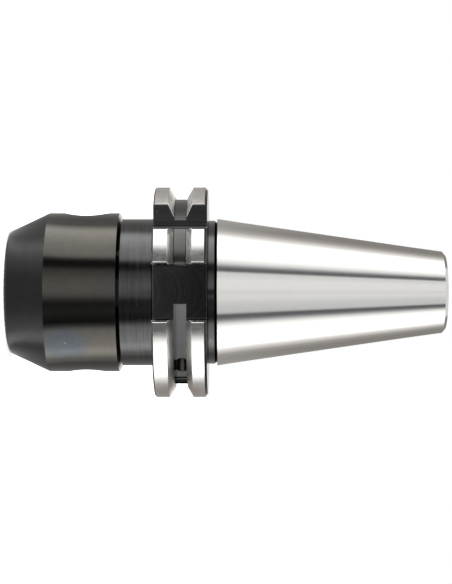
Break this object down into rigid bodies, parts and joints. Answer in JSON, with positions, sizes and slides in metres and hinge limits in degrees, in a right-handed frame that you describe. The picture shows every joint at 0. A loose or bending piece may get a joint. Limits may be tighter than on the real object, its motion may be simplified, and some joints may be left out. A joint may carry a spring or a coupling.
{
  "type": "end mill holder",
  "caption": "Steep-taper tool holder with a V-flange, a cylindrical bore for an end mill and a side-lock clamping screw.",
  "frame": {"origin": "centre of the nose face, where the end mill's shank goes in", "axes": "+Z along the holder's axis towards the small end of the taper, -X out of the clamping screw's hole, -Y out of the deeper keyway"},
  "size_m": [0.0636, 0.061, 0.1314],
  "materials": {
    "blackened_steel": "taper and flange ground bright, the rest blackened",
    "screw_steel": "blackened"
  },
  "bodies": {
    "holder": {"holder_body": "blackened_steel"},
    "screw": {"clamping_screw": "screw_steel"}
  },
  "joints": [
    {"name": "clamping_screw_travel", "type": "slide", "parent": "holder", "child": "screw", "axis": [-1, 0, 0], "range_m": [-0.002, 0.012]}
  ]
}
